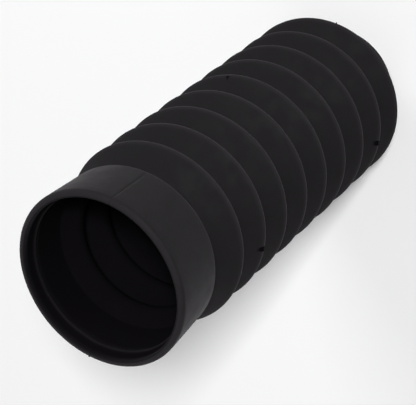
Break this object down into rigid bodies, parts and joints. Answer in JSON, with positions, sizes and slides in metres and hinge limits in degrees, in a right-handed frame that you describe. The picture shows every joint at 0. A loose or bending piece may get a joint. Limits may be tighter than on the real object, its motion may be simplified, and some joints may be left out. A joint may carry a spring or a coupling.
{
  "type": "fork gaiter",
  "caption": "Ribbed rubber bellows sleeve for a motorcycle fork, with a wide socket cuff at one end and a narrow beaded collar at the other.",
  "frame": {"origin": "centre of the collar's end face, which the gaiter stands on", "axes": "+Z along the bore towards the wide cuff's mouth; the mould's parting plane is XZ"},
  "size_m": [0.07, 0.07, 0.194],
  "materials": {
    "rubber": "matte black moulded rubber"
  },
  "bodies": {
    "root": {"gaiter": "rubber"}
  },
  "joints": []
}
